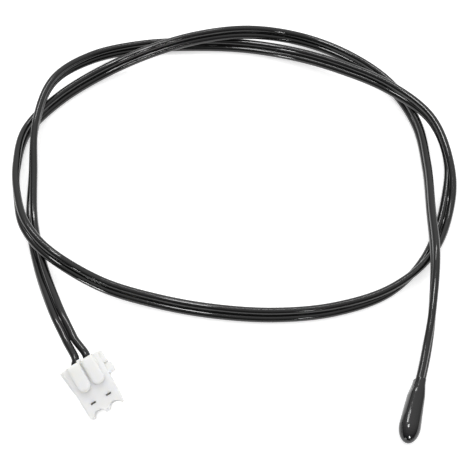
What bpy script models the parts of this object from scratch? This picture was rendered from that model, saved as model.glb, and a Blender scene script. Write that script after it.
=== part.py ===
# Bead thermistor: a dipped, drop-shaped sensing head on a flat twin cable, which lies in a loose
# coil of one and three quarter turns and ends in a two-way crimp connector.
# Metres, +Z up. The origin is on the floor under the middle of the sensing head, and the head's
# length runs along Y, with its tip towards -Y.

import math

import bmesh
import bpy
from mathutils import Matrix, Vector

mm = 0.001
weld_distance = 0.001 * mm
spin_weld_distance = 0.0005 * mm
smooth_angle = math.radians(35)

# Flat twin cable: two round insulated cores side by side with a web between them
core_diameter = 1.2 * mm
core_pitch = 1.2 * mm
web_thickness = 0.5 * mm
lobe_segments = 9
cable_points = 74
leg_diameter = 1.18 * mm
leg_root = 0.9 * mm
leg_straight = 0.9 * mm
leg_points = 12
strand_diameter = 0.16 * mm
strand_lay = 8.0 * mm
strand_points = 5
strand_sides = 24

# Sensing head: an epoxy drop dipped over the end of the cable
head_length = 10.0 * mm
head_width = 3.2 * mm
head_height = 3.0 * mm
head_nose = 2.6 * mm
shoulder_from_neck = 3.2 * mm
shoulder_width = 2.5 * mm
shoulder_height = 2.78 * mm
neck_coat = 0.15 * mm
neck_rise = 1.44 * mm
head_roll = math.radians(16)
nose_squareness = 2.0
neck_squareness = 3.2
head_segments = 36
nose_rings = 9
nose_ring_start = 0.35
body_rings = 5
neck_rings = 8
reach_steps = 96
potting_gap = 0.05 * mm

# Inside the head, measured along it
cable_grip = 1.8 * mm
head_strip = 1.3 * mm
joint_length = 1.4 * mm
joint_diameter = 0.84 * mm
joint_bite = 0.4 * mm
joint_lip = 0.02 * mm
joint_barrel = 0.35
joint_segments = 16
lead_diameter = 0.2 * mm
lead_spread = 0.44 * mm
lead_straight = 0.64 * mm
lead_straight_most = 1 / 3
lead_points_count = 9
lead_overrun = 0.2 * mm
nose_wall = 1.15 * mm
element_length = 1.5 * mm
element_diameter = 1.1 * mm

# Two-way housing: x across, y from the mating end to the wire end, z up from its broad face
pitch = 2.5 * mm
housing_length = 8.0 * mm
housing_width = 5.94 * mm
tip_width = 5.44 * mm
housing_height = 4.2 * mm
housing_edge = 0.14 * mm
flange_reach = 3.5 * mm
flange_length = 1.9 * mm
rib_reach = 3.9 * mm
rib_length = 1.4 * mm
rib_from_back = 2.1 * mm
wedge_reach = 3.4 * mm
wedge_length = 3.8 * mm
shoulder_bottom = 0.55 * mm
shoulder_top = 3.4 * mm
shoulder_sunk = 0.4 * mm
boss_width = 1.96 * mm
boss_length = 4.35 * mm
boss_rise = 0.88 * mm
boss_offset = 1.12 * mm
boss_edge = 0.34 * mm
boss_arc_steps = 12
tab_width = 0.8 * mm
tab_reach = 0.3 * mm
tab_rise = 0.3 * mm
tab_above_cavity = 0.2 * mm
arch_depth = 0.68 * mm
arch_width = 1.9 * mm
front_wall = 0.3 * mm
cavity_width = 1.9 * mm
cavity_floor = 0.95 * mm
cavity_ceiling = 3.7 * mm
socket_cavity_width = 1.7 * mm
socket_cavity_length = 3.3 * mm
socket_cavity_floor = 1.1 * mm
socket_cavity_ceiling = 3.25 * mm
pin_hole = 1.0 * mm
pin_funnel = 1.5 * mm
funnel_start = 0.05 * mm
window_width = 0.78 * mm
window_length = 0.28 * mm
window_from_end = 1.68 * mm
cutter_overrun = 0.5 * mm

# Crimp contact: folded from one strip
contact_stock = 0.2 * mm
strip_width = 0.9 * mm
socket_width = 1.5 * mm
socket_height = 1.62 * mm
socket_length = 2.8 * mm
socket_from_end = 1.1 * mm
socket_edge = 0.1 * mm
lance_width = 0.65 * mm
lance_length = 0.5 * mm
lance_angle = math.radians(50)
lance_setback = 0.03 * mm
wire_barrel_width = 1.0 * mm
wire_barrel_length = 1.0 * mm
wire_barrel_from_end = 4.5 * mm
wire_barrel_edge = 0.12 * mm
wire_barrel_fold = 0.16 * mm
cover_barrel_length = 0.9 * mm
cover_barrel_from_end = 5.95 * mm
barrel_slit = 0.3 * mm
crimp_gap = 0.05 * mm
strip_proud = 0.03 * mm
contact_overrun = 0.3 * mm

# Wires inside the housing
leg_end_from_end = 5.8 * mm
plug_strip = 1.45 * mm
leg_entry = 1.14 * mm
leg_swing = 0.45 * mm
leg_swing_at = 0.95 * mm
leg_swing_dip = 0.1 * mm
leg_spread = 1.6 * mm

# Where the connector lies: one front corner is on the floor and the cable holds its wire end up
plug_place = Vector((-43.03, -10.77, 0.36)) * mm
plug_turn = math.radians(47.8)
plug_tilt = math.radians(17.1)
plug_roll = math.radians(-7.9)

# The cable's route from the connector to the head's neck: x, y and z of the web in mm, and how far
# the two stacked cores lean in degrees, where a lean to the right of the way along is positive.
# Inside the head it goes on to the end that the head grips.
route = [
    (-51.0, -3.35, 5.0, 90),
    (-55.15, 1.35, 4.6, 82),
    (-60.45, 8.55, 2.0, 64),
    (-64.85, 16.2, 1.12, 46),
    (-67.75, 24.8, 1.7, 23),
    (-70.15, 33.42, 3.25, 9),
    (-70.2, 42.3, 3.8, 6),
    (-65.95, 49.95, 2.4, -14),
    (-58.5, 55.42, 1.24, -31),
    (-49.9, 58.38, 1.14, -37),
    (-41.05, 60.32, 1.12, -44),
    (-31.93, 60.45, 1.6, -48),
    (-23.0, 58.57, 2.9, -46),
    (-14.18, 55.5, 4.0, -28),
    (-6.2, 51.2, 3.5, 0),
    (-1.72, 44.07, 1.9, -11),
    (-0.65, 35.35, 0.88, -88),
    (-2.16, 26.15, 1.15, -42),
    (-6.9, 18.6, 1.21, 12),
    (-14.35, 13.45, 1.14, 34),
    (-22.9, 10.2, 1.1, 41),
    (-32.0, 8.4, 1.13, 43),
    (-41.15, 7.8, 1.12, 43),
    (-50.25, 7.95, 2.1, 42),
    (-59.0, 10.1, 3.7, 36),
    (-64.52, 13.75, 3.92, 33),
    (-67.88, 18.72, 3.33, 12),
    (-70.7, 25.28, 2.22, 2),
    (-71.88, 33.02, 1.34, -16),
    (-68.8, 41.0, 1.18, -32),
    (-63.1, 48.2, 1.6, -34),
    (-55.8, 53.7, 3.1, -32),
    (-48.15, 58.27, 3.8, -32),
    (-40.1, 62.15, 3.05, -38),
    (-31.2, 64.1, 1.5, -30),
    (-22.28, 62.48, 1.2, -22),
    (-14.25, 58.25, 1.22, -16),
    (-8.38, 51.4, 1.22, -12),
    (-5.17, 42.9, 1.5, -8),
    (-3.16, 34.0, 2.6, -7),
    (-1.15, 25.0, 3.7, -8),
    (0.05, 16.2, 2.3, 6),
    (0.35, 10.6, 1.5, 18),
    (0.29, 5.58, 1.44, 18),
]


def remove_old_objects():
    for old in list(bpy.data.objects):
        bpy.data.objects.remove(old, do_unlink=True)


def new_collection(name):
    collection = bpy.data.collections.new(name)
    bpy.context.scene.collection.children.link(collection)
    return collection


def new_material(name, colour, roughness, metallic):
    material = bpy.data.materials.new(name)
    material.use_nodes = True
    shader = material.node_tree.nodes["Principled BSDF"]
    shader.inputs["Base Color"].default_value = (*colour, 1.0)
    shader.inputs["Roughness"].default_value = roughness
    shader.inputs["Metallic"].default_value = metallic
    return material


def add_object(name, data, collection, parent=None, material=None):
    thing = bpy.data.objects.new(name, data)
    collection.objects.link(thing)
    if parent is not None:
        thing.parent = parent
    if material is not None:
        thing.data.materials.append(material)
    return thing


def hide_cutter(thing):
    thing.hide_render = True
    thing.display_type = "WIRE"
    return thing


def mesh_from(name, bm):
    bmesh.ops.recalc_face_normals(bm, faces=bm.faces)
    mesh = bpy.data.meshes.new(name)
    bm.to_mesh(mesh)
    bm.free()
    return mesh


def box_mesh(name, low, high, edge=0.0, front=None):
    """A box between two corners; front gives another pair of x limits for its low-y end."""
    bm = bmesh.new()
    bmesh.ops.create_cube(bm, size=1.0)
    size = Vector(high) - Vector(low)
    bmesh.ops.scale(bm, vec=size, verts=bm.verts)
    bmesh.ops.translate(bm, vec=(Vector(low) + Vector(high)) / 2, verts=bm.verts)
    if front is not None:
        middle_x, middle_y = (low[0] + high[0]) / 2, (low[1] + high[1]) / 2
        for vert in bm.verts:
            if vert.co.y < middle_y:
                vert.co.x = front[0] if vert.co.x < middle_x else front[1]
    if edge > 0:
        bmesh.ops.bevel(bm, geom=list(bm.edges), offset=edge, segments=2, profile=0.5, affect="EDGES")
    return mesh_from(name, bm)


def rod_mesh(name, radius, start, end, sides=24, far_radius=None):
    bm = bmesh.new()
    along = Vector(end) - Vector(start)
    other = radius if far_radius is None else far_radius
    turn = along.to_track_quat("Z", "Y").to_matrix().to_4x4()
    place = Matrix.Translation((Vector(start) + Vector(end)) / 2) @ turn
    bmesh.ops.create_cone(bm, cap_ends=True, segments=sides, radius1=radius, radius2=other,
                          depth=along.length, matrix=place)
    return mesh_from(name, bm)


def boolean(thing, tool, operation):
    modifier = thing.modifiers.new(tool.name, "BOOLEAN")
    modifier.object = tool
    modifier.operation = operation
    modifier.solver = "EXACT"


def smooth_route(points, steps):
    """Points of a smooth curve through the given ones, with any further values carried along."""
    ends = [[2 * a - b for a, b in zip(points[0], points[1])],
            [2 * a - b for a, b in zip(points[-1], points[-2])]]
    knots = [ends[0], *points, ends[1]]
    curve = []
    for before, start, end, after in zip(knots, knots[1:], knots[2:], knots[3:]):
        for step in range(steps):
            t = step / steps
            curve.append([
                0.5 * (2 * b + (c - a) * t + (2 * a - 5 * b + 4 * c - d) * t ** 2
                       + (3 * b - a - 3 * c + d) * t ** 3)
                for a, b, c, d in zip(before, start, end, after)])
    curve.append(list(points[-1]))
    return curve


def even_route(points, count, steps=16):
    """The smooth curve through the points, read at evenly spaced places along it."""
    curve = smooth_route(points, steps)
    reach = [0.0]
    for a, b in zip(curve, curve[1:]):
        reach.append(reach[-1] + (Vector(b[:3]) - Vector(a[:3])).length)
    even = []
    place = 0
    for index in range(count):
        goal = reach[-1] * index / (count - 1)
        while place < len(reach) - 2 and reach[place + 1] < goal:
            place += 1
        share = (goal - reach[place]) / (reach[place + 1] - reach[place])
        even.append([a + (b - a) * share for a, b in zip(curve[place], curve[place + 1])])
    return even


def core_direction(way, lean):
    """The way from the lower core to the upper one, across a cable that runs along way."""
    side = way.cross(Vector((0, 0, 1))).normalized()
    upright = side.cross(way).normalized()
    return upright * math.cos(lean) + side * math.sin(lean)


def profile_curve(name, outline, guides):
    """A closed flat outline that a swept curve takes as its section."""
    data = bpy.data.curves.new(name, "CURVE")
    data.dimensions = "2D"
    spline = data.splines.new("POLY")
    spline.points.add(len(outline) - 1)
    for point, (x, y) in zip(spline.points, outline):
        point.co = (x, y, 0, 1)
    spline.use_cyclic_u = True
    return hide_cutter(add_object(name, data, guides))


def swept_curve(name, points, leans, collection, section=None, radius=0.0):
    """A POLY curve through the points that carries a section or a round bevel, with capped ends."""
    data = bpy.data.curves.new(name, "CURVE")
    data.dimensions = "3D"
    data.twist_mode = "Z_UP"
    data.use_fill_caps = True
    if section is None:
        data.bevel_depth = radius
        data.bevel_resolution = 2
    else:
        data.bevel_mode = "OBJECT"
        data.bevel_object = section
    spline = data.splines.new("POLY")
    spline.points.add(len(points) - 1)
    for point, place, lean in zip(spline.points, points, leans):
        point.co = (*place, 1)
        point.tilt = lean
    spline.use_smooth = True
    return add_object(name, data, collection)


def curve_to_mesh(curve):
    """The curve's swept surface as a mesh object in its place, with its caps welded on."""
    bpy.context.view_layer.update()
    graph = bpy.context.evaluated_depsgraph_get()
    mesh = bpy.data.meshes.new_from_object(curve.evaluated_get(graph))
    bm = bmesh.new()
    bm.from_mesh(mesh)
    bmesh.ops.remove_doubles(bm, verts=bm.verts, dist=weld_distance)
    bmesh.ops.recalc_face_normals(bm, faces=bm.faces)
    bm.to_mesh(mesh)
    bm.free()
    name = curve.name
    collection = curve.users_collection[0]
    parent = curve.parent
    place = curve.matrix_world.copy()
    bpy.data.objects.remove(curve, do_unlink=True)
    mesh.name = name
    thing = add_object(name, mesh, collection, parent)
    thing.matrix_world = place
    return thing


def twin_outline(grow=0.0):
    """Section of the flat cable: two round lobes above each other, joined by the web."""
    radius = core_diameter / 2 + grow
    half_web = web_thickness / 2 + grow
    notch = math.asin(half_web / radius)
    sweep = 2 * (math.pi - notch)
    outline = []
    for side in (1, -1):
        for step in range(lobe_segments + 1):
            angle = math.pi - notch - sweep * step / lobe_segments
            outline.append((side * radius * math.sin(angle),
                            side * (core_pitch / 2 + radius * math.cos(angle))))
    return outline


def strand_outline():
    """Section of a bunch of seven strands: six round lobes about a hidden seventh."""
    ring = strand_diameter
    radius = strand_diameter / 2
    lobe = math.radians(60)
    outline = []
    for step in range(strand_sides):
        angle = 2 * math.pi * step / strand_sides
        off = (angle + lobe / 2) % lobe - lobe / 2
        inside = max(0.0, radius ** 2 - (ring * math.sin(off)) ** 2)
        reach = ring * math.cos(off) + math.sqrt(inside)
        outline.append((reach * math.cos(angle), reach * math.sin(angle)))
    return outline


def stranded_end(name, start, end, section, collection, parent, material):
    """A short length of bare twisted strands."""
    shares = [step / (strand_points - 1) for step in range(strand_points)]
    points = [start.lerp(end, share) for share in shares]
    twist = 2 * math.pi * (end - start).length / strand_lay
    leans = [twist * share for share in shares]
    thing = curve_to_mesh(swept_curve(name, points, leans, collection, section=section))
    thing.parent = parent
    thing.data.materials.append(material)
    return thing


def plug_matrix():
    turn = Matrix.Rotation(plug_turn, 4, "Z")
    tilt = Matrix.Rotation(plug_tilt, 4, "X")
    roll = Matrix.Rotation(plug_roll, 4, "Y")
    return Matrix.Translation(plug_place) @ turn @ tilt @ roll


def cable_line():
    """Evenly spaced places along the cable's web, each with its lean."""
    knots = [(x * mm, y * mm, z * mm, math.radians(lean)) for x, y, z, lean in route]
    gripped = (0.0, head_length / 2 - cable_grip, neck_rise, head_roll)
    return even_route([*knots, gripped], cable_points)


def build_cable(parts, cutters, section, material):
    """The flat cable in one piece, with the two torn legs that reach into the connector."""
    even = cable_line()
    cable = curve_to_mesh(swept_curve("flat_cable", [e[:3] for e in even], [e[3] for e in even],
                                      parts, section=section))
    cable.data.materials.append(material)

    into_plug = plug_matrix()
    line = housing_height / 2
    start = Vector(even[0][:3])
    way = (Vector(even[1][:3]) - start).normalized()
    across = core_direction(way, even[0][3])
    for side, name in ((-1, "leg_left"), (1, "leg_right")):
        root = start + across * side * core_pitch / 2
        swing = Vector((leg_swing + side * leg_spread / 2, housing_length + leg_swing_at,
                        line - leg_swing_dip))
        inner = [(leg_entry, housing_length), (pitch / 2, leg_end_from_end + leg_straight),
                 (pitch / 2, leg_end_from_end)]
        inside = [swing, *(Vector((side * x, y, line)) for x, y in inner)]
        points = [root + way * leg_root, root, *(into_plug @ place for place in inside)]
        leg_line = even_route([tuple(p) for p in points], leg_points)
        leg = curve_to_mesh(swept_curve(name, leg_line, [0.0] * len(leg_line), cutters,
                                        radius=leg_diameter / 2))
        boolean(cable, hide_cutter(leg), "UNION")
    return cable


def head_size(from_tip):
    """Width and height of the drop at a distance from its tip."""
    neck = (core_diameter + 2 * neck_coat, core_pitch + core_diameter + 2 * neck_coat)
    full = (head_width, head_height)
    shoulder = (shoulder_width, shoulder_height)
    shoulder_at = head_length - shoulder_from_neck
    if from_tip <= head_nose:
        share = math.sqrt(max(0.0, 1 - (1 - from_tip / head_nose) ** 2))
        return [size * share for size in full]
    if from_tip <= shoulder_at:
        share = (from_tip - head_nose) / (shoulder_at - head_nose)
        return [a + (b - a) * share for a, b in zip(full, shoulder)]
    share = (from_tip - shoulder_at) / shoulder_from_neck
    ease = share * share * (3 - 2 * share)
    return [a + (b - a) * ease for a, b in zip(shoulder, neck)]


def lowest_reach(width, height, squareness):
    """How far a rolled section reaches below its centre."""
    reach = 0.0
    for step in range(reach_steps):
        x, z = section_point(width, height, squareness, 2 * math.pi * step / reach_steps)
        reach = max(reach, -(z * math.cos(head_roll) - x * math.sin(head_roll)))
    return reach


def section_point(width, height, squareness, angle):
    power = 2 / squareness
    x = math.copysign(abs(math.cos(angle)) ** power, math.cos(angle)) * width / 2
    z = math.copysign(abs(math.sin(angle)) ** power, math.sin(angle)) * height / 2
    return x, z


def neck_centre():
    """Where the cable's web leaves the head, at the neck's rim."""
    line = cable_line()
    rim = head_length / 2
    for before, after in zip(line[-2::-1], line[:0:-1]):
        if before[1] >= rim:
            share = (before[1] - rim) / (before[1] - after[1])
            return Vector(before[:3]).lerp(Vector(after[:3]), share)
    return Vector(line[0][:3])


def head_outer_mesh():
    """The drop: unlike sections along its length, joined ring to ring and closed at both ends."""
    shoulder_at = head_length - shoulder_from_neck
    quarter = math.pi / 2
    stations = [head_nose * (1 - math.cos(quarter * (step + nose_ring_start) / nose_rings))
                for step in range(nose_rings)]
    stations += [head_nose + (shoulder_at - head_nose) * step / body_rings for step in range(body_rings)]
    stations += [shoulder_at + shoulder_from_neck * step / neck_rings for step in range(neck_rings + 1)]
    full_rise = lowest_reach(head_width, head_height, nose_squareness)
    neck = neck_centre()
    bm = bmesh.new()
    rings = []
    for from_tip in stations:
        width, height = head_size(from_tip)
        necked = max(0.0, (from_tip - head_nose) / (head_length - head_nose))
        squareness = nose_squareness + (neck_squareness - nose_squareness) * necked
        aside = neck.x * necked ** 2
        rise = full_rise + (neck.z - full_rise) * necked
        ring = bmesh.ops.create_circle(bm, segments=head_segments, radius=1.0)["verts"]
        for index, vert in enumerate(ring):
            x, z = section_point(width, height, squareness, 2 * math.pi * index / head_segments)
            vert.co = (x * math.cos(head_roll) + z * math.sin(head_roll) + aside,
                       from_tip - head_length / 2,
                       z * math.cos(head_roll) - x * math.sin(head_roll) + rise)
        rings.append(ring)
    for ring, after in zip(rings, rings[1:]):
        edges = [edge for verts in (ring, after) for edge in {e for v in verts for e in v.link_edges}
                 if edge.verts[0] in verts and edge.verts[1] in verts]
        bmesh.ops.bridge_loops(bm, edges=edges)
    for ring in (rings[0], rings[-1]):
        bm.faces.new(ring)
    return mesh_from("sensing_head", bm)


def spindle_mesh(name, length, diameter, bore, far_bore, bite):
    """A solder fillet turned about Z, hollow at each end for the wire that it holds."""
    half = length / 2
    lip = max(bore, far_bore) / 2 + joint_lip
    barrel = half * joint_barrel
    profile = [(0, half - bite), (bore / 2, half - bite), (bore / 2, half), (lip, half),
               (diameter / 2, barrel), (diameter / 2, -barrel), (lip, -half),
               (far_bore / 2, -half), (far_bore / 2, -half + bite), (0, -half + bite)]
    bm = bmesh.new()
    verts = [bm.verts.new((x, 0, z)) for x, z in profile]
    for a, b in zip(verts, verts[1:]):
        bm.edges.new((a, b))
    bmesh.ops.spin(bm, geom=list(bm.verts) + list(bm.edges), axis=(0, 0, 1), cent=(0, 0, 0),
                   angle=2 * math.pi, steps=joint_segments, use_merge=True)
    bmesh.ops.remove_doubles(bm, verts=bm.verts, dist=spin_weld_distance)
    return mesh_from(name, bm)


def ball_mesh(name, diameter, length):
    bm = bmesh.new()
    bmesh.ops.create_uvsphere(bm, u_segments=20, v_segments=12, radius=0.5)
    bmesh.ops.scale(bm, vec=(diameter, diameter, length), verts=bm.verts)
    return mesh_from(name, bm)


def head_places():
    """Where each inner piece begins and ends along the head's own line, tip at minus."""
    cable_end = head_length / 2 - cable_grip
    joint_top = cable_end - (head_strip - joint_bite)
    joint_bottom = joint_top - joint_length
    lead_top = joint_bottom + joint_bite
    element_at = -head_length / 2 + nose_wall + element_length / 2
    depth = element_length / 2 * math.sqrt(1 - (lead_spread / element_diameter) ** 2)
    lead_bottom = element_at + depth + potting_gap
    return cable_end, joint_top, joint_bottom, lead_top, lead_bottom, element_at


def lead_points(side, frame, lead_top, lead_bottom):
    wide = core_pitch / 2
    narrow = lead_spread / 2
    straight = min(lead_straight, (lead_top - lead_bottom) * lead_straight_most)
    knots = [(wide, lead_top), (wide, lead_top - straight), (narrow, lead_bottom + straight),
             (narrow, lead_bottom)]
    line = [(side * u, y, 0.0) for u, y in knots]
    return [frame @ Vector((0, y, u)) for u, y, _ in even_route(line, lead_points_count)]


def build_head(parts, cutters, strands, looks):
    """The dipped drop and what it holds: wire ends, solder joints, leads and the element."""
    cable_end, joint_top, joint_bottom, lead_top, lead_bottom, element_at = head_places()
    frame = Matrix.Translation((0, 0, neck_rise)) @ Matrix.Rotation(head_roll, 4, "Y")
    head = add_object("sensing_head", head_outer_mesh(), parts, material=looks["epoxy"])

    gap = potting_gap
    wide = core_pitch / 2
    grown = profile_curve("twin_section_grown", twin_outline(gap), cutters)
    tail = cable_line()[-3:]
    last = Vector(tail[-1][:3])
    beyond = (last - Vector(tail[-2][:3])).normalized() * gap
    tail_points = [Vector(e[:3]) for e in tail[:-1]] + [last + beyond]
    sleeve = swept_curve("cable_sleeve", tail_points, [e[3] for e in tail], cutters, section=grown)
    boolean(head, hide_cutter(curve_to_mesh(sleeve)), "DIFFERENCE")

    along_y = Matrix.Rotation(math.radians(-90), 4, "X")
    wire = 3 * strand_diameter
    wire_end = cable_end - gap
    for side, name in ((1, "upper"), (-1, "lower")):
        top = frame @ Vector((0, wire_end, side * wide))
        bottom = frame @ Vector((0, joint_top - joint_bite, side * wide))
        stranded_end(f"head_conductor_{name}", top, bottom, strands, parts, None, looks["tinned"])
        channel = rod_mesh(f"wire_channel_{name}", wire / 2 + gap,
                           frame @ Vector((0, cable_end + gap, side * wide)), bottom)
        boolean(head, hide_cutter(add_object(f"wire_channel_{name}", channel, cutters)), "DIFFERENCE")

        middle = Matrix.Translation((0, (joint_top + joint_bottom) / 2, side * wide))
        joint = spindle_mesh(f"solder_joint_{name}", joint_length, joint_diameter,
                             wire + 2 * gap, lead_diameter + 2 * gap, joint_bite + gap)
        joint.transform(frame @ middle @ along_y)
        add_object(f"solder_joint_{name}", joint, parts, material=looks["solder"])
        pocket = rod_mesh(f"joint_pocket_{name}", joint_diameter / 2 + gap,
                          frame @ Vector((0, joint_top + gap, side * wide)),
                          frame @ Vector((0, joint_bottom - gap, side * wide)))
        boolean(head, hide_cutter(add_object(f"joint_pocket_{name}", pocket, cutters)), "DIFFERENCE")

        points = lead_points(side, frame, lead_top, lead_bottom)
        lead = swept_curve(f"element_lead_{name}", points, [0.0] * len(points), parts,
                           radius=lead_diameter / 2)
        lead.data.materials.append(looks["lead"])
        far = points[-1] + (points[-1] - points[-2]).normalized() * lead_overrun
        run = swept_curve(f"lead_channel_{name}", [*points[:-1], far], [0.0] * len(points), cutters,
                          radius=lead_diameter / 2 + gap)
        boolean(head, hide_cutter(curve_to_mesh(run)), "DIFFERENCE")

    seat = frame @ Matrix.Translation((0, element_at, 0)) @ along_y
    element = ball_mesh("thermistor_element", element_diameter, element_length)
    element.transform(seat)
    add_object("thermistor_element", element, parts, material=looks["glass"])
    hollow = ball_mesh("element_pocket", element_diameter + 2 * gap, element_length + 2 * gap)
    hollow.transform(seat)
    boolean(head, hide_cutter(add_object("element_pocket", hollow, cutters)), "DIFFERENCE")


def build_housing(parts, cutters, frame, material):
    """The moulded two-way housing: shoulders, wire covers, latch windows, funnels and arches."""
    half = housing_width / 2
    tip = tip_width / 2
    back = housing_length
    body = box_mesh("plug_housing", (-half, 0, 0), (half, back, housing_height), housing_edge, (-tip, tip))
    housing = add_object("plug_housing", body, parts, frame, material)

    def tool(name, mesh, operation):
        boolean(housing, hide_cutter(add_object(name, mesh, cutters, frame)), operation)

    inner = half - shoulder_sunk
    rib_back = back - rib_from_back
    tool("flange", box_mesh("flange", (inner, back - flange_length, shoulder_bottom),
         (flange_reach, back, shoulder_top), housing_edge), "UNION")
    tool("rib", box_mesh("rib", (inner, rib_back - rib_length, shoulder_bottom),
         (rib_reach, rib_back, shoulder_top), housing_edge), "UNION")
    tool("wedge", box_mesh("wedge", (-wedge_reach, back - wedge_length, shoulder_bottom),
         (-inner, back, shoulder_top), housing_edge, (-half, -inner)), "UNION")
    for side, name in ((-1, "left"), (1, "right")):
        centre = side * boss_offset
        front = back - boss_length + boss_width / 2
        tool(f"wire_cover_{name}", wire_cover_mesh(centre, front, back), "UNION")

    tab_bottom = cavity_ceiling + tab_above_cavity
    tool("wire_tab", box_mesh("wire_tab", (-tab_width / 2, back - shoulder_sunk, tab_bottom),
         (tab_width / 2, back + tab_reach, housing_height + tab_rise), housing_edge), "UNION")

    cut = cutter_overrun
    line = housing_height / 2
    cavity_front = arch_depth + front_wall
    socket_back = cavity_front + socket_cavity_length
    for side, name in ((-1, "left"), (1, "right")):
        centre = side * pitch / 2
        wide = cavity_width / 2
        tool(f"wire_cavity_{name}", box_mesh("wire_cavity",
             (centre - wide, socket_back - cut, cavity_floor),
             (centre + wide, back + cut, cavity_ceiling)), "DIFFERENCE")
        wide = socket_cavity_width / 2
        tool(f"socket_cavity_{name}", box_mesh("socket_cavity",
             (centre - wide, cavity_front, socket_cavity_floor),
             (centre + wide, socket_back, socket_cavity_ceiling)), "DIFFERENCE")
        wide = pin_hole / 2
        tool(f"pin_hole_{name}", box_mesh("pin_hole", (centre - wide, -cut, line - wide),
             (centre + wide, cavity_front + cut, line + wide)), "DIFFERENCE")
        corner = math.sqrt(2)
        funnel = rod_mesh("pin_funnel", pin_funnel / 2 * corner, (0, 0, 0), (0, 0, front_wall),
                          sides=4, far_radius=pin_hole / 2 * corner)
        square = Matrix.Rotation(math.radians(45), 4, "Z")
        lay = Matrix.Rotation(math.radians(-90), 4, "X")
        funnel.transform(Matrix.Translation((centre, arch_depth - funnel_start, line)) @ lay @ square)
        tool(f"pin_funnel_{name}", funnel, "DIFFERENCE")
        wide = window_width / 2
        tool(f"latch_window_{name}", box_mesh("latch_window", (centre - wide, window_from_end, line),
             (centre + wide, window_from_end + window_length, housing_height + cut)), "DIFFERENCE")
        radius = arch_width / 2
        tool(f"arch_{name}", rod_mesh("arch", radius, (centre, arch_depth - radius, -cut),
             (centre, arch_depth - radius, housing_height + cut), sides=32), "DIFFERENCE")
    return housing


def wire_cover_mesh(centre, front, back):
    """A raised cover over a wire, round at its front and softened along its top edge."""
    radius = boss_width / 2
    bottom = housing_height - shoulder_sunk
    top = housing_height + boss_rise
    bm = bmesh.new()
    outline = [(centre + radius * math.cos(a), front - radius * math.sin(a))
               for a in (math.pi * step / boss_arc_steps for step in range(boss_arc_steps + 1))]
    outline += [(centre - radius, back), (centre + radius, back)]
    base = bm.faces.new([bm.verts.new((x, y, bottom)) for x, y in outline])
    lifted = bmesh.ops.extrude_face_region(bm, geom=[base])["geom"]
    bmesh.ops.translate(bm, vec=(0, 0, top - bottom),
                        verts=[v for v in lifted if isinstance(v, bmesh.types.BMVert)])
    rim = [e for e in bm.edges if all(abs(v.co.z - top) < weld_distance for v in e.verts)]
    bmesh.ops.bevel(bm, geom=rim, offset=boss_edge, segments=2, profile=0.5, affect="EDGES")
    return mesh_from("wire_cover", bm)


def contact_mesh_object(name, parts, cutters, frame, material, side):
    """One crimp contact: socket, lance, base strip, wire barrel and cover barrel in one fold."""
    line = housing_height / 2
    cover_bore = leg_diameter / 2 + crimp_gap
    cover_outer = cover_bore + contact_stock
    base = line - cover_outer - strip_proud
    stock = contact_stock
    holder = bpy.data.objects.new(f"{name}_place", None)
    cutters.objects.link(holder)
    holder.parent = frame
    holder.location = (side * pitch / 2, 0, 0)

    cover_end = cover_barrel_from_end + cover_barrel_length
    wide = strip_width / 2
    contact = add_object(name, box_mesh(name, (-wide, socket_from_end + 2 * stock, base),
                         (wide, cover_end, base + stock)), parts, holder, material)

    def tool(label, mesh, operation):
        boolean(contact, hide_cutter(add_object(f"{name}_{label}", mesh, cutters, holder)), operation)

    half = socket_width / 2
    socket_back = socket_from_end + socket_length
    socket_top = base + socket_height
    tool("socket", box_mesh("socket", (-half, socket_from_end, base), (half, socket_back, socket_top),
         socket_edge), "UNION")

    barrel = wire_barrel_width / 2
    wire_bore = 1.5 * strand_diameter + crimp_gap
    barrel_top = line + wire_bore + stock
    barrel_end = wire_barrel_from_end + wire_barrel_length
    tool("wire_barrel", box_mesh("wire_barrel", (-barrel, wire_barrel_from_end, base),
         (barrel, barrel_end, barrel_top), wire_barrel_edge), "UNION")
    tool("cover_barrel", rod_mesh("cover_barrel", cover_outer, (0, cover_barrel_from_end, line),
         (0, cover_end, line)), "UNION")

    lance = box_mesh("lance", (-lance_width / 2, 0, -stock), (lance_width / 2, lance_length, 0))
    foot = Vector((0, window_from_end + window_length + lance_setback, socket_top - stock / 2))
    lance.transform(Matrix.Translation(foot) @ Matrix.Rotation(math.pi - lance_angle, 4, "X"))
    tool("lance", lance, "UNION")

    cut = contact_overrun
    tool("socket_hollow", box_mesh("socket_hollow", (-half + stock, socket_from_end - cut, base + stock),
         (half - stock, socket_back + cut, socket_top - stock)), "DIFFERENCE")
    tool("wire_bore", rod_mesh("wire_bore", wire_bore, (0, wire_barrel_from_end - cut, line),
         (0, barrel_end + cut, line)), "DIFFERENCE")
    tool("cover_bore", rod_mesh("cover_bore", cover_bore, (0, cover_barrel_from_end - cut, line),
         (0, cover_end + cut, line)), "DIFFERENCE")
    slit = barrel_slit / 2
    tool("cover_slit", box_mesh("cover_slit", (-slit, cover_barrel_from_end - cut, line + cover_bore / 2),
         (slit, cover_end + cut, line + cover_outer + cut)), "DIFFERENCE")
    fold = rod_mesh("barrel_fold", wire_barrel_fold, (0, wire_barrel_from_end - cut, barrel_top),
                    (0, barrel_end + cut, barrel_top), sides=4)
    tool("barrel_fold", fold, "DIFFERENCE")
    return contact


def build_plug(parts, cutters, strands, looks):
    frame = bpy.data.objects.new("plug_frame", None)
    cutters.objects.link(frame)
    frame.matrix_world = plug_matrix()
    build_housing(parts, cutters, frame, looks["nylon"])
    line = housing_height / 2
    place = plug_matrix()
    for side, name in ((-1, "left"), (1, "right")):
        contact_mesh_object(f"crimp_contact_{name}", parts, cutters, frame, looks["tinned"], side)
        start = place @ Vector((side * pitch / 2, leg_end_from_end - crimp_gap, line))
        end = place @ Vector((side * pitch / 2, leg_end_from_end - plug_strip, line))
        stranded_end(f"plug_conductor_{name}", start, end, strands, parts, None, looks["copper"])


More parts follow.
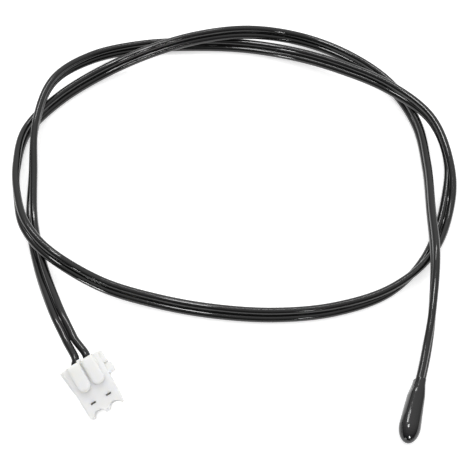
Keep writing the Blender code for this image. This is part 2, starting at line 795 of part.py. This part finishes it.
def main():
    remove_old_objects()
    parts = new_collection("bead_thermistor")
    cutters = new_collection("cutters")
    looks = {
        "epoxy": new_material("dipped_epoxy", (0.012, 0.012, 0.013), 0.18, 0.0),
        "pvc": new_material("black_pvc", (0.012, 0.012, 0.012), 0.22, 0.0),
        "nylon": new_material("natural_nylon", (0.84, 0.84, 0.83), 0.4, 0.0),
        "tinned": new_material("tin_plate", (0.66, 0.66, 0.65), 0.3, 1.0),
        "copper": new_material("tinned_copper", (0.7, 0.62, 0.55), 0.3, 1.0),
        "solder": new_material("solder", (0.58, 0.58, 0.6), 0.25, 1.0),
        "lead": new_material("lead_wire", (0.7, 0.68, 0.66), 0.3, 1.0),
        "glass": new_material("coated_element", (0.1, 0.04, 0.02), 0.2, 0.0),
    }
    twin = profile_curve("twin_section", twin_outline(), cutters)
    strands = profile_curve("strand_section", strand_outline(), cutters)
    build_cable(parts, cutters, twin, looks["pvc"])
    build_head(parts, cutters, strands, looks)
    build_plug(parts, cutters, strands, looks)
    for thing in parts.objects:
        if thing.type == "MESH":
            thing.data.shade_smooth()
            thing.data.set_sharp_from_angle(angle=smooth_angle)


main()
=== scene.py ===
# Bead thermistor, dressed: the finishes of the dipped head, the flat twin cable and the crimp plug,
# on a white table under soft studio light. Metres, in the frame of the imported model.

import math

import bmesh
import bpy
from mathutils import Matrix, Vector


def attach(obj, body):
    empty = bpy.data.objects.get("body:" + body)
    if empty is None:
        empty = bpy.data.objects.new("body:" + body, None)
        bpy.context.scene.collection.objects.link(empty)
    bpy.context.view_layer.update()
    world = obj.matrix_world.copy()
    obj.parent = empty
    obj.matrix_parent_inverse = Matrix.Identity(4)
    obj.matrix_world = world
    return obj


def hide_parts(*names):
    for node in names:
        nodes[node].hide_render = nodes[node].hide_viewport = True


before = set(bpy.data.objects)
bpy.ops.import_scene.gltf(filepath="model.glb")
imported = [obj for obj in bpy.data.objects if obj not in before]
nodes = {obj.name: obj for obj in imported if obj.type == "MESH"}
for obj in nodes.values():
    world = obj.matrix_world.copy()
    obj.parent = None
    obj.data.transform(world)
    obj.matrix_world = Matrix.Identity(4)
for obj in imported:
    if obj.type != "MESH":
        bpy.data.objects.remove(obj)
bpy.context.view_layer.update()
mm = 0.001


# Small helpers

def hexColour(text):
    # sRGB hex to linear red, green and blue
    parts = [int(text[i:i + 2], 16) / 255 for i in (1, 3, 5)]
    return tuple(p / 12.92 if p <= 0.04045 else ((p + 0.055) / 1.055) ** 2.4 for p in parts)


def grey(value):
    return (value, value, value)


def addNode(tree, kind, links=None, **settings):
    # links feeds the new node's inputs from sockets, settings are its own values or unlinked inputs
    node = tree.nodes.new(kind)
    for name, value in settings.items():
        if hasattr(node, name):
            setattr(node, name, value)
        else:
            node.inputs[name.replace("_", " ")].default_value = value
    for name, socket in (links or {}).items():
        tree.links.new(socket, node.inputs[name])
    return node


def newMaterial(name):
    material = bpy.data.materials.new(name)
    material.use_nodes = True
    return material, material.node_tree, material.node_tree.nodes["Principled BSDF"]


def objectSpace(tree):
    return addNode(tree, "ShaderNodeTexCoord").outputs["Object"]


def addNoise(tree, space, size, detail=2.0):
    # a noise with waves of that size, in metres where space is in metres
    noise = addNode(tree, "ShaderNodeTexNoise", {"Vector": space}, Scale=1 / size, Detail=detail)
    return noise.outputs["Fac"]


def rampBetween(tree, factor, low, high, start=0.3, end=0.7):
    # a colour ramp from one grey or colour to another; a noise seldom leaves 0.3 to 0.7
    node = addNode(tree, "ShaderNodeValToRGB", {"Fac": factor})
    node.color_ramp.elements[0].position = start
    node.color_ramp.elements[0].color = (*low, 1)
    node.color_ramp.elements[1].position = end
    node.color_ramp.elements[1].color = (*high, 1)
    return node.outputs["Color"]


def bumpFrom(tree, shader, height, depth):
    # depth is the bump's real height in metres
    bump = addNode(tree, "ShaderNodeBump", {"Height": height}, Strength=1.0, Distance=depth)
    tree.links.new(bump.outputs["Normal"], shader.inputs["Normal"])


# Camera: the photograph looks down at 60 degrees from close by

cameraView = {
    "place": (-11.1 * mm, -59.7 * mm, 147.9 * mm),
    "aim": (-32.8 * mm, 22.9 * mm, 0.0),
    "focalLength": 81.1,
    "sensorWidth": 36.0,
    "clipNear": 1 * mm,
    "clipFar": 20.0,
}


def makeCamera():
    data = bpy.data.cameras.new("photoCamera")
    data.lens = cameraView["focalLength"]
    data.sensor_width = cameraView["sensorWidth"]
    data.clip_start = cameraView["clipNear"]
    data.clip_end = cameraView["clipFar"]
    camera = bpy.data.objects.new("photoCamera", data)
    camera.location = cameraView["place"]
    way = Vector(cameraView["aim"]) - camera.location
    camera.rotation_euler = way.to_track_quat("-Z", "Y").to_euler()
    bpy.context.scene.collection.objects.link(camera)
    bpy.context.scene.camera = camera


makeCamera()
print("camera placed")


# Black PVC of the cable

pvc = {
    "colour": "#090909",
    "refraction": 1.53,
    "smoothest": 0.07,
    "roughest": 0.13,
    "swaySize": 6 * mm,
    "pitSize": 0.25 * mm,
    "dieLineScale": 2.2,  # waves in one unit of the map, which is 10 mm of cable
    "dieLinesAround": 14.0,  # how many times as many lie in one turn round a core
    "dieLineGrain": 0.55,
    "bumpDepth": 0.002 * mm,
}


def makeBlackPvc():
    # Extruded plasticised PVC: near black, glossy, with faint die lines along it and a slow sway in
    # its gloss, so the long reflections waver a little
    material, tree, shader = newMaterial("extrudedBlackPvc")
    shader.inputs["Base Color"].default_value = (*hexColour(pvc["colour"]), 1)
    shader.inputs["IOR"].default_value = pvc["refraction"]
    along = addNode(tree, "ShaderNodeUVMap", uv_map="alongCable").outputs["UV"]
    stretched = addNode(tree, "ShaderNodeMapping", {"Vector": along},
                        Scale=(1.0, pvc["dieLinesAround"], 1.0)).outputs["Vector"]
    dieLines = addNode(tree, "ShaderNodeTexNoise", {"Vector": stretched}, Scale=pvc["dieLineScale"],
                       Detail=3.0, Roughness=pvc["dieLineGrain"]).outputs["Fac"]
    space = objectSpace(tree)
    sway = addNoise(tree, space, pvc["swaySize"])
    pits = addNoise(tree, space, pvc["pitSize"], 3.0)
    tree.links.new(rampBetween(tree, sway, grey(pvc["smoothest"]), grey(pvc["roughest"])),
                   shader.inputs["Roughness"])
    height = addNode(tree, "ShaderNodeMath", {0: dieLines, 1: pits}, operation="ADD")
    bumpFrom(tree, shader, height.outputs["Value"], pvc["bumpDepth"])
    return material


# Epoxy of the head

epoxy = {
    "colour": "#0C0C0D",
    "refraction": 1.55,
    "smoothest": 0.05,
    "roughest": 0.14,
    "runWidth": 0.45 * mm,
    "runLength": 5 * mm,
    "runGrain": 0.6,
    "bumpDepth": 0.03 * mm,
}


def makeDippedEpoxy():
    # Epoxy resin cured after a dip: black, very glossy, with runs along the drop
    material, tree, shader = newMaterial("dippedBlackEpoxy")
    shader.inputs["Base Color"].default_value = (*hexColour(epoxy["colour"]), 1)
    shader.inputs["IOR"].default_value = epoxy["refraction"]
    across = 1 / epoxy["runWidth"]
    drawn = addNode(tree, "ShaderNodeMapping", {"Vector": objectSpace(tree)},
                    Scale=(across, 1 / epoxy["runLength"], across)).outputs["Vector"]
    runs = addNode(tree, "ShaderNodeTexNoise", {"Vector": drawn}, Scale=1.0, Detail=3.0,
                   Roughness=epoxy["runGrain"]).outputs["Fac"]
    tree.links.new(rampBetween(tree, runs, grey(epoxy["smoothest"]), grey(epoxy["roughest"]),
                               start=0.35), shader.inputs["Roughness"])
    bumpFrom(tree, shader, runs, epoxy["bumpDepth"])
    return material


# Nylon of the plug

nylon = {
    "darkest": "#F4F4F2",
    "lightest": "#F9F9F7",
    "refraction": 1.53,
    "scatterWeight": 1.0,
    "scatterRadius": (1.0, 0.95, 0.85),
    "scatterDepth": 0.8 * mm,
    "cloudSize": 3 * mm,
    "sparkSize": 0.12 * mm,
    "smoothest": 0.34,
    "roughest": 0.46,
    "bumpDepth": 0.006 * mm,
}


def makeNylon():
    # Natural polyamide, moulded: milky and slightly translucent, satin, with a fine spark finish
    material, tree, shader = newMaterial("naturalPolyamide")
    shader.inputs["IOR"].default_value = nylon["refraction"]
    shader.inputs["Subsurface Weight"].default_value = nylon["scatterWeight"]
    shader.inputs["Subsurface Radius"].default_value = nylon["scatterRadius"]
    shader.inputs["Subsurface Scale"].default_value = nylon["scatterDepth"]
    space = objectSpace(tree)
    cloud = addNoise(tree, space, nylon["cloudSize"])
    spark = addNoise(tree, space, nylon["sparkSize"])
    tree.links.new(rampBetween(tree, cloud, hexColour(nylon["darkest"]), hexColour(nylon["lightest"])),
                   shader.inputs["Base Color"])
    tree.links.new(rampBetween(tree, spark, grey(nylon["smoothest"]), grey(nylon["roughest"])),
                   shader.inputs["Roughness"])
    bumpFrom(tree, shader, spark, nylon["bumpDepth"])
    return material


# Metals of the contacts, the conductors and what is in the head

tarnish = {
    "dullShare": 0.86,
    "roughestShare": 1.3,
    "smoothestShare": 0.8,
}


def makeMetal(name, colour, roughness, grain, depth):
    # A plated, drawn or soldered metal: its grain is a noise of that size, which moves colour and gloss
    material, tree, shader = newMaterial(name)
    shader.inputs["Metallic"].default_value = 1.0
    noise = addNoise(tree, objectSpace(tree), grain, 3.0)
    dull = tuple(c * tarnish["dullShare"] for c in hexColour(colour))
    tree.links.new(rampBetween(tree, noise, dull, hexColour(colour)), shader.inputs["Base Color"])
    tree.links.new(rampBetween(tree, noise, grey(roughness * tarnish["roughestShare"]),
                               grey(roughness * tarnish["smoothestShare"])), shader.inputs["Roughness"])
    bumpFrom(tree, shader, noise, depth)
    return material


# Ceramic of the thermistor element

ceramic = {
    "darkest": "#2A1C16",
    "lightest": "#4A2E22",
    "refraction": 1.5,
    "roughness": 0.15,
    "glassCoat": 0.6,
    "speckSize": 0.08 * mm,
    "bumpDepth": 0.003 * mm,
}


def makeCoatedElement():
    # Metal oxide ceramic under a thin glassy coat: dark brown, speckled, glossy
    material, tree, shader = newMaterial("glassCoatedCeramic")
    shader.inputs["IOR"].default_value = ceramic["refraction"]
    shader.inputs["Roughness"].default_value = ceramic["roughness"]
    shader.inputs["Coat Weight"].default_value = ceramic["glassCoat"]
    specks = addNoise(tree, objectSpace(tree), ceramic["speckSize"])
    tree.links.new(rampBetween(tree, specks, hexColour(ceramic["darkest"]),
                               hexColour(ceramic["lightest"]), 0.35, 0.65), shader.inputs["Base Color"])
    bumpFrom(tree, shader, specks, ceramic["bumpDepth"])
    return material


blackPvc = makeBlackPvc()
dippedEpoxy = makeDippedEpoxy()
naturalNylon = makeNylon()
coatedElement = makeCoatedElement()
# bright and a little milky, as rolled strip is after plating
tinPlate = makeMetal("tinPlatedBronze", colour="#CFCFCA", roughness=0.26, grain=0.15 * mm,
                     depth=0.002 * mm)
# pale with the copper just showing through
tinnedCopper = makeMetal("tinnedCopperStrand", colour="#D8C2AE", roughness=0.30, grain=0.1 * mm,
                         depth=0.002 * mm)
# shiny grey with the slight waves of a metal that ran and set
solder = makeMetal("tinSolder", colour="#B9BABD", roughness=0.22, grain=0.3 * mm, depth=0.006 * mm)
# smooth and warm grey
leadWire = makeMetal("drawnLeadWire", colour="#CDC9C3", roughness=0.28, grain=0.1 * mm,
                     depth=0.001 * mm)
print("materials made")


# Cable

cable = {
    "coreDiameter": 1.2 * mm,
    "corePitch": 1.2 * mm,
    "webThickness": 0.5 * mm,
    "webReach": 0.4,  # the web's half width, as a share of the pitch
    "webWaist": 0.92,  # its thickness in the middle, as a share of the thickness at the cores
    "length": 0.3815,  # with the legs in the plug
    "exit": (0.00025, 0.005, 0.00144),  # the head's neck
    "stepLength": 0.5 * mm,
    "coreSides": 28,
    "sharpAngle": math.radians(40),
    "mapLength": 10 * mm,  # how much cable one unit of the map takes
    "legDiameter": 1.18 * mm,
    "legEnd": 5.8 * mm,  # from the plug's mating end
    "legStraight": 0.9 * mm,
    "legEntryLeft": 0.95 * mm,  # from the housing's middle to a leg where it enters
    "legEntryRight": 1.14 * mm,
    "legSwing": 0.45 * mm,  # the legs' middle and their spacing just outside the housing
    "legSpread": 1.6 * mm,
    "legSwingOut": 0.95 * mm,  # how far outside that is, and how far below the entry
    "legSwingDip": 0.1 * mm,
    "legBlend": 2.5 * mm,  # how far along its core a leg's curve is aimed
    "swellLength": 3 * mm,  # over which a leg gets as thick as its core
    "tearLength": 1.2 * mm,  # over which the web gets its full thickness
    "tornShare": 0.35,  # what is left of the web's thickness at its torn edge
}

# where the housing lies, and what the legs need of its size
plug = {
    "place": (-43.03 * mm, -10.77 * mm, 0.36 * mm),
    "turn": math.radians(47.8),
    "tilt": math.radians(17.1),
    "roll": math.radians(-7.9),
    "pitch": 2.5 * mm,
    "length": 8.0 * mm,
    "height": 4.2 * mm,
}

# x, y and z of the web in metres, and how far the stacked cores lean to the right, in degrees
cableRoute = [
    (-0.051, -0.00335, 0.005, 90),
    (-0.05515, 0.00135, 0.0046, 82),
    (-0.06045, 0.00855, 0.002, 64),
    (-0.06485, 0.0162, 0.00112, 46),
    (-0.06775, 0.0248, 0.0017, 23),
    (-0.07015, 0.03342, 0.00325, 9),
    (-0.0702, 0.0423, 0.0038, 6),
    (-0.06595, 0.04995, 0.0024, -14),
    (-0.0585, 0.05542, 0.00124, -31),
    (-0.0499, 0.05838, 0.00114, -37),
    (-0.04105, 0.06032, 0.00112, -44),
    (-0.03193, 0.06045, 0.0016, -48),
    (-0.023, 0.05857, 0.0029, -46),
    (-0.01418, 0.0555, 0.004, -28),
    (-0.0062, 0.0512, 0.0035, 0),
    (-0.00172, 0.04407, 0.0019, -11),
    (-0.00065, 0.03535, 0.00088, -88),
    (-0.00216, 0.02615, 0.00115, -42),
    (-0.0069, 0.0186, 0.00121, 12),
    (-0.01435, 0.01345, 0.00114, 34),
    (-0.0229, 0.0102, 0.0011, 41),
    (-0.032, 0.0084, 0.00113, 43),
    (-0.04115, 0.0078, 0.00112, 43),
    (-0.05025, 0.00795, 0.0021, 42),
    (-0.059, 0.0101, 0.0037, 36),
    (-0.06452, 0.01375, 0.00392, 33),
    (-0.06788, 0.01872, 0.00333, 12),
    (-0.0707, 0.02528, 0.00222, 2),
    (-0.07188, 0.03302, 0.00134, -16),
    (-0.0688, 0.041, 0.00118, -32),
    (-0.0631, 0.0482, 0.0016, -34),
    (-0.0558, 0.0537, 0.0031, -32),
    (-0.04815, 0.05827, 0.0038, -32),
    (-0.0401, 0.06215, 0.00305, -38),
    (-0.0312, 0.0641, 0.0015, -30),
    (-0.02228, 0.06248, 0.0012, -22),
    (-0.01425, 0.05825, 0.00122, -16),
    (-0.00838, 0.0514, 0.00122, -12),
    (-0.00517, 0.0429, 0.0015, -8),
    (-0.00316, 0.034, 0.0026, -7),
    (-0.00115, 0.025, 0.0037, -8),
    (0.00005, 0.0162, 0.0023, 6),
    (0.00035, 0.0106, 0.0015, 18),
    (0.00029, 0.00558, 0.00144, 18),
    (0.0, 0.0032, 0.00144, 16),
]


def distances(line):
    # how far along a line of points each one lies
    reach = [0.0]
    for a, b in zip(line, line[1:]):
        reach.append(reach[-1] + (b - a).length)
    return reach


def wayAt(line, index):
    # the direction of a line of points at one of them
    return (line[min(index + 1, len(line) - 1)] - line[max(index - 1, 0)]).normalized()


def smoothLine(points, steps):
    # a smooth curve through the points, whose further values are carried along
    first = [2 * a - b for a, b in zip(points[0], points[1])]
    last = [2 * a - b for a, b in zip(points[-1], points[-2])]
    knots = [first, *points, last]
    line = []
    for before, start, end, after in zip(knots, knots[1:], knots[2:], knots[3:]):
        for step in range(steps):
            t = step / steps
            line.append([
                0.5 * (2 * b + (c - a) * t + (2 * a - 5 * b + 4 * c - d) * t ** 2
                       + (3 * b - a - 3 * c + d) * t ** 3)
                for a, b, c, d in zip(before, start, end, after)])
    line.append(list(points[-1]))
    return line


def evenLine(points, steps=24):
    # the smooth curve read at even places, about one step length apart
    line = smoothLine(points, steps)
    reach = distances([Vector(spot[:3]) for spot in line])
    count = round(reach[-1] / cable["stepLength"]) + 1
    even = []
    place = 0
    for index in range(count):
        goal = reach[-1] * index / (count - 1)
        while place < len(reach) - 2 and reach[place + 1] < goal:
            place += 1
        share = (goal - reach[place]) / (reach[place + 1] - reach[place])
        even.append([a + (b - a) * share for a, b in zip(line[place], line[place + 1])])
    return even


def coreWay(way, lean):
    # from the lower core to the upper one, across a cable that runs along way
    side = way.cross(Vector((0, 0, 1))).normalized()
    upright = side.cross(way).normalized()
    return upright * math.cos(lean) + side * math.sin(lean)


def plugMatrix():
    turn = Matrix.Rotation(plug["turn"], 4, "Z")
    tilt = Matrix.Rotation(plug["tilt"], 4, "X")
    roll = Matrix.Rotation(plug["roll"], 4, "Y")
    return Matrix.Translation(plug["place"]) @ turn @ tilt @ roll


def tubeRings(line, radii):
    # round rings about a line, turned as little as possible from one to the next
    rings = []
    upright = Vector((0, 0, 1))
    angles = [2 * math.pi * step / cable["coreSides"] for step in range(cable["coreSides"])]
    for index, spot in enumerate(line):
        way = wayAt(line, index)
        side = way.cross(upright).normalized()
        upright = side.cross(way).normalized()
        rings.append([spot + (side * math.cos(a) + upright * math.sin(a)) * radii[index]
                      for a in angles])
    return rings


def webRings(centre, across):
    # six points a ring for the web between the cores, which tears to a thin edge where the legs part
    rings = []
    wide = cable["corePitch"] * cable["webReach"]
    torn = cable["tornShare"]
    for index, (spot, cross, far) in enumerate(zip(centre, across, distances(centre))):
        flat = wayAt(centre, index).cross(cross)
        half = cable["webThickness"] / 2 * min(1.0, torn + (1 - torn) * far / cable["tearLength"])
        waist = half * cable["webWaist"]
        rings.append([spot + cross * x + flat * z for x, z in (
            (-wide, -half), (0, -waist), (wide, -half), (wide, half), (0, waist), (-wide, half))])
    return rings


def sweepRings(bm, uvLayer, rings, along):
    # joins rings of points, spaced along as given, into one closed skin with its own UVs
    verts = [[bm.verts.new(p) for p in ring] for ring in rings]
    count = len(rings[0])
    for index in range(len(rings) - 1):
        for side in range(count):
            after = (side + 1) % count
            face = bm.faces.new((verts[index][side], verts[index][after],
                                 verts[index + 1][after], verts[index + 1][side]))
            face.smooth = True
            spots = ((index, side), (index, side + 1), (index + 1, side + 1), (index + 1, side))
            for loop, (ring, turn) in zip(face.loops, spots):
                loop[uvLayer].uv = (along[ring] / cable["mapLength"], turn / count)
    bm.faces.new(verts[0])
    bm.faces.new(verts[-1])


def legLine(core, side, entry):
    # a leg from its end in the contact, out of the housing and on to its core
    middle = plug["height"] / 2
    lane = side * plug["pitch"] / 2
    inPlug = (
        (lane, cable["legEnd"], middle),
        (lane, cable["legEnd"] + cable["legStraight"], middle),
        (side * entry, plug["length"], middle),
        (cable["legSwing"] + side * cable["legSpread"] / 2, plug["length"] + cable["legSwingOut"],
         middle - cable["legSwingDip"]),
    )
    beyond = core[round(cable["legBlend"] / cable["stepLength"])]
    leg = evenLine([*(plugMatrix() @ Vector(spot) for spot in inPlug), core[0], beyond])
    joined = min(range(len(leg)), key=lambda i: (Vector(leg[i]) - core[0]).length)
    return [Vector(p) for p in leg[:joined]]


def makeCable():
    even = evenLine([(*p[:3], math.radians(p[3])) for p in cableRoute])
    centre = [Vector(p[:3]) for p in even]
    across = [coreWay(wayAt(centre, index), point[3]) for index, point in enumerate(even)]

    bm = bmesh.new()
    uvLayer = bm.loops.layers.uv.new("alongCable")
    legRadius = cable["legDiameter"] / 2
    growth = cable["coreDiameter"] / 2 - legRadius
    swell = cable["swellLength"] / cable["stepLength"]
    for side, entry in ((-1, cable["legEntryLeft"]), (1, cable["legEntryRight"])):
        core = [c + a * side * cable["corePitch"] / 2 for c, a in zip(centre, across)]
        leg = legLine(core, side, entry)
        line = leg + core
        radii = [legRadius + growth * min(1.0, max(0.0, (i - len(leg)) / swell))
                 for i in range(len(line))]
        sweepRings(bm, uvLayer, tubeRings(line, radii), distances(line))
    sweepRings(bm, uvLayer, webRings(centre, across), distances(centre))
    bmesh.ops.recalc_face_normals(bm, faces=bm.faces)

    mesh = bpy.data.meshes.new("twinCable")
    bm.to_mesh(mesh)
    bm.free()
    mesh.set_sharp_from_angle(angle=cable["sharpAngle"])
    mesh.materials.append(blackPvc)
    piece = bpy.data.objects.new("twinCable", mesh)
    bpy.context.scene.collection.objects.link(piece)
    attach(piece, "root")
    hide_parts("flat_cable")


makeCable()
print("cable laid")


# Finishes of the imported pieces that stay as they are

finishes = {
    "sensing_head": dippedEpoxy,
    "plug_housing": naturalNylon,
    "thermistor_element": coatedElement,
    "element_lead_upper": leadWire,
    "element_lead_lower": leadWire,
    "solder_joint_upper": solder,
    "solder_joint_lower": solder,
    "head_conductor_upper": tinnedCopper,
    "head_conductor_lower": tinnedCopper,
    "plug_conductor_left": tinnedCopper,
    "plug_conductor_right": tinnedCopper,
    "crimp_contact_left": tinPlate,
    "crimp_contact_right": tinPlate,
}

for nodeName, finish in finishes.items():
    for materialSlot in nodes[nodeName].material_slots:
        materialSlot.material = finish
print("finishes set")


# Floor, lights and world: the strip light and the soft box are placed from the camera's aim

studio = {
    "floorSize": 3.0,
    "floorColour": "#FAFAFA",
    "floorRoughness": 0.9,
    "floorGlow": 0.5,
    "floorMirrored": 0.6,
    "stripLength": 0.32,
    "stripWidth": 0.03,
    "stripPlace": (-0.13, 0.25, 0.47),
    "stripPower": 0.5,
    "softBoxPlace": (0.1, -0.4, 0.55),
    "softBoxSize": 0.8,
    "softBoxPower": 1.45,
    "lamps": (
        {"place": (-0.15, -0.31, 0.065), "size": 0.05, "power": 0.3},
        {"place": (0.13, -0.27, 0.2), "size": 0.025, "power": 0.11},
        {"place": (-0.12, 0.04, 0.475), "size": 0.07, "power": 0.42},
    ),
    "lampAim": (0.0, 0.0, 0.0),  # the middle of the head
    "skyWay": (0.0, 0.6, 0.8),
    "skyTop": 1.1,
    "skySide": 0.16,
}


def makeFloor():
    bm = bmesh.new()
    bmesh.ops.create_grid(bm, x_segments=2, y_segments=2, size=studio["floorSize"] / 2)
    mesh = bpy.data.meshes.new("whiteTable")
    bm.to_mesh(mesh)
    bm.free()
    floor = bpy.data.objects.new("whiteTable", mesh)
    bpy.context.scene.collection.objects.link(floor)
    material, tree, shader = newMaterial("whiteTableTop")
    shader.inputs["Base Color"].default_value = (*hexColour(studio["floorColour"]), 1)
    shader.inputs["Roughness"].default_value = studio["floorRoughness"]
    shader.inputs["Specular IOR Level"].default_value = 0.0
    # the table glows a little for the camera, and rather more in what metal, glass and gloss mirror
    path = addNode(tree, "ShaderNodeLightPath")
    mirrored = addNode(tree, "ShaderNodeMath", {0: path.outputs["Is Glossy Ray"],
                                                1: path.outputs["Is Transmission Ray"]},
                       operation="MAXIMUM")
    inMirrors = addNode(tree, "ShaderNodeMath", {0: mirrored.outputs["Value"]}, operation="MULTIPLY")
    inMirrors.inputs[1].default_value = studio["floorMirrored"]
    glow = addNode(tree, "ShaderNodeMath", {0: path.outputs["Is Camera Ray"],
                                            2: inMirrors.outputs["Value"]}, operation="MULTIPLY_ADD")
    glow.inputs[1].default_value = studio["floorGlow"]
    shader.inputs["Emission Color"].default_value = (1, 1, 1, 1)
    tree.links.new(glow.outputs["Value"], shader.inputs["Emission Strength"])
    mesh.materials.append(material)


def addAreaLight(name, place, aim, length, width, power):
    data = bpy.data.lights.new(name, "AREA")
    data.shape = "RECTANGLE"
    data.size = length
    data.size_y = width
    data.energy = power
    light = bpy.data.objects.new(name, data)
    light.location = place
    light.rotation_euler = (aim - place).to_track_quat("-Z", "Y").to_euler()
    bpy.context.scene.collection.objects.link(light)
    return light


def makeLights():
    # the room's bright ceiling does most of the work, with a soft box for what is matt; a narrow strip
    # light draws the long highlights, and small lamps leave the sparks on the head
    centre = Vector(cameraView["aim"])
    addAreaLight("stripLight", centre + Vector(studio["stripPlace"]), centre,
                 studio["stripLength"], studio["stripWidth"], studio["stripPower"])
    softBox = addAreaLight("softBox", centre + Vector(studio["softBoxPlace"]), centre,
                           studio["softBoxSize"], studio["softBoxSize"], studio["softBoxPower"])
    softBox.visible_glossy = False
    for values in studio["lamps"]:
        lamp = addAreaLight("smallLamp", Vector(values["place"]), Vector(studio["lampAim"]),
                            values["size"], values["size"], values["power"])
        lamp.visible_diffuse = False


def makeWorld():
    # a room that is brightest toward skyWay and dims to the sides of it, and is white to the camera
    world = bpy.data.worlds.new("studioRoom")
    bpy.context.scene.world = world
    world.use_nodes = True
    tree = world.node_tree
    where = addNode(tree, "ShaderNodeTexCoord")
    toward = addNode(tree, "ShaderNodeVectorMath", {0: where.outputs["Generated"]},
                     operation="DOT_PRODUCT")
    toward.inputs[1].default_value = studio["skyWay"]
    shade = rampBetween(tree, toward.outputs["Value"], grey(studio["skySide"]), grey(studio["skyTop"]),
                        start=0.0, end=1.0)
    path = addNode(tree, "ShaderNodeLightPath")
    pick = addNode(tree, "ShaderNodeMix", {"Factor": path.outputs["Is Camera Ray"]}, data_type="RGBA")
    tree.links.new(shade, pick.inputs[6])
    pick.inputs[7].default_value = (1, 1, 1, 1)
    tree.links.new(pick.outputs[2], tree.nodes["Background"].inputs["Color"])


makeFloor()
makeLights()
makeWorld()
bpy.context.scene.view_settings.view_transform = "Standard"
print("studio lit")
